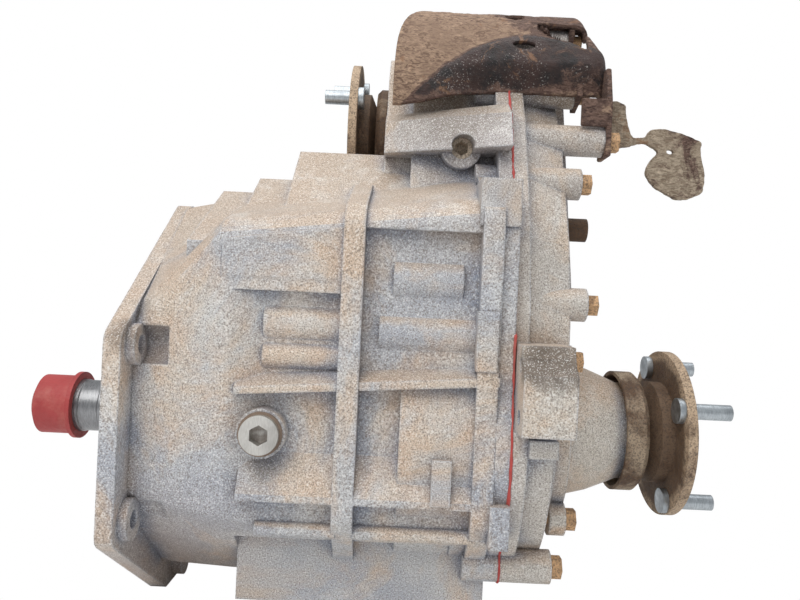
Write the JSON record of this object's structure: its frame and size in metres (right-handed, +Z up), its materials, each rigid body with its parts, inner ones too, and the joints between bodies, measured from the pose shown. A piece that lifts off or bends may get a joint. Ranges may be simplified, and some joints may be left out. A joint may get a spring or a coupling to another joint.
{
  "type": "transfer case",
  "caption": "Chain-drive vehicle transfer case: ribbed two-piece housing, planetary reduction, two shift collars, silent chain to an offset front output, flanged outputs.",
  "frame": {"origin": "on the main shaft axis, in the front face of the adapter flange", "axes": "+X along the main shaft towards the rear output, +Z up through the front output side, -Y the side with the filler plug"},
  "size_m": [0.4531, 0.2846, 0.4249],
  "materials": {
    "cast_aluminium": "as-cast, matt, dusty",
    "machined_steel": "turned and ground",
    "gear_steel": "ground, oiled",
    "dark_bearing_steel": "ground",
    "zinc_studs": "zinc plated, dull",
    "rusty_flange": "weathered, dusty, matt",
    "bolt_steel": "yellow zinc, weathered",
    "sealant_red": "cured silicone, satin",
    "seal_rubber": "satin",
    "cap_red": "matt",
    "nylon_white": "matt",
    "plug_steel": "oxidised",
    "gasket_fibre": "matt",
    "guard_paint": "flaking, rusty, matt",
    "rust_plate": "rusty, matt"
  },
  "bodies": {
    "housing": {"front_case": "cast_aluminium", "rear_case": "cast_aluminium", "extension_housing": "cast_aluminium", "case_bolts": "bolt_steel", "extension_bolts": "bolt_steel", "bearing_retainer": "cast_aluminium", "retainer_bolts": "bolt_steel", "input_seal": "seal_rubber", "rear_seal": "seal_rubber", "front_seal": "seal_rubber", "input_bearing_outer": "dark_bearing_steel", "rear_bearing_outer": "dark_bearing_steel", "front_bearing_outer": "dark_bearing_steel", "tail_bearing_outer": "dark_bearing_steel", "ring_gear": "gear_steel", "drive_chain": "gear_steel", "case_sealant": "sealant_red", "filler_plug": "plug_steel", "filler_gasket": "gasket_fibre", "upper_plug": "plug_steel", "detent_plug": "plug_steel", "guard": "guard_paint", "guard_feet": "guard_paint", "tail_plate": "rust_plate"},
    "input": {"input_shaft": "machined_steel", "shaft_cap": "cap_red", "input_bearing_inner": "dark_bearing_steel"},
    "carrier": {"planet_carrier": "gear_steel", "planet_pins": "machined_steel"},
    "planet_1": {"planet_gear_1": "gear_steel"},
    "planet_2": {"planet_gear_2": "gear_steel"},
    "planet_3": {"planet_gear_3": "gear_steel"},
    "rear_output": {"mainshaft": "machined_steel", "pilot_bearing": "dark_bearing_steel", "rear_bearing_inner": "dark_bearing_steel", "speedometer_gear": "nylon_white", "shaft_spacer": "machined_steel", "rear_flange": "rusty_flange", "rear_flange_studs": "zinc_studs", "rear_flange_nut": "rusty_flange", "rear_deflector": "rusty_flange"},
    "range_collar": {"range_sleeve": "gear_steel"},
    "range_shift": {"range_fork": "gear_steel", "range_rail": "machined_steel"},
    "drive_collar": {"drive_sleeve": "gear_steel"},
    "drive_shift": {"drive_fork": "gear_steel", "drive_rail": "machined_steel"},
    "drive_sprocket": {"drive_sprocket": "gear_steel"},
    "front_output": {"front_output_shaft": "machined_steel", "front_bearing_inner": "dark_bearing_steel", "tail_bearing_inner": "dark_bearing_steel", "front_flange": "rusty_flange", "front_flange_studs": "zinc_studs", "front_flange_nut": "rusty_flange", "front_deflector": "rusty_flange"}
  },
  "joints": [
    {"name": "rear_output_spin", "type": "hinge", "parent": "housing", "child": "rear_output", "pos_m": [0, 0, 0], "axis": [1, 0, 0], "continuous": true, "deforming": ["drive_chain"]},
    {"name": "input_spin", "type": "hinge", "parent": "housing", "child": "input", "pos_m": [0, 0, 0], "axis": [1, 0, 0], "continuous": true},
    {"name": "carrier_spin", "type": "hinge", "parent": "housing", "child": "carrier", "pos_m": [0, 0, 0], "axis": [1, 0, 0], "continuous": true},
    {"name": "planet_1_spin", "type": "hinge", "parent": "carrier", "child": "planet_1", "pos_m": [0, 0.04875, 0], "axis": [1, 0, 0], "continuous": true},
    {"name": "planet_2_spin", "type": "hinge", "parent": "carrier", "child": "planet_2", "pos_m": [0, -0.02438, 0.04222], "axis": [1, 0, 0], "continuous": true},
    {"name": "planet_3_spin", "type": "hinge", "parent": "carrier", "child": "planet_3", "pos_m": [0, -0.02438, -0.04222], "axis": [1, 0, 0], "continuous": true},
    {"name": "drive_sprocket_spin", "type": "hinge", "parent": "housing", "child": "drive_sprocket", "pos_m": [0, 0, 0], "axis": [1, 0, 0], "continuous": true, "deforming": ["drive_chain"]},
    {"name": "front_output_spin", "type": "hinge", "parent": "housing", "child": "front_output", "pos_m": [0, 0.07201, 0.2069], "axis": [1, 0, 0], "continuous": true, "deforming": ["drive_chain"]},
    {"name": "range_fork_slide", "type": "slide", "parent": "housing", "child": "range_shift", "axis": [1, 0, 0], "range_m": [0, 0.01]},
    {"name": "range_collar_slide", "type": "slide", "parent": "rear_output", "child": "range_collar", "axis": [1, 0, 0], "range_m": [0, 0.01]},
    {"name": "drive_fork_slide", "type": "slide", "parent": "housing", "child": "drive_shift", "axis": [1, 0, 0], "range_m": [-0.01, 0]},
    {"name": "drive_collar_slide", "type": "slide", "parent": "rear_output", "child": "drive_collar", "axis": [1, 0, 0], "range_m": [-0.01, 0]}
  ],
  "couplings": [
    {"joint": "input_spin", "follows": "rear_output_spin", "ratio": 1},
    {"joint": "carrier_spin", "follows": "rear_output_spin", "ratio": 0.38462},
    {"joint": "planet_1_spin", "follows": "rear_output_spin", "ratio": -2.0513},
    {"joint": "planet_2_spin", "follows": "rear_output_spin", "ratio": -2.0513},
    {"joint": "planet_3_spin", "follows": "rear_output_spin", "ratio": -2.0513},
    {"joint": "drive_sprocket_spin", "follows": "rear_output_spin", "ratio": 1},
    {"joint": "front_output_spin", "follows": "rear_output_spin", "ratio": 1},
    {"joint": "range_collar_slide", "follows": "range_fork_slide", "ratio": 1},
    {"joint": "drive_collar_slide", "follows": "drive_fork_slide", "ratio": 1}
  ]
}
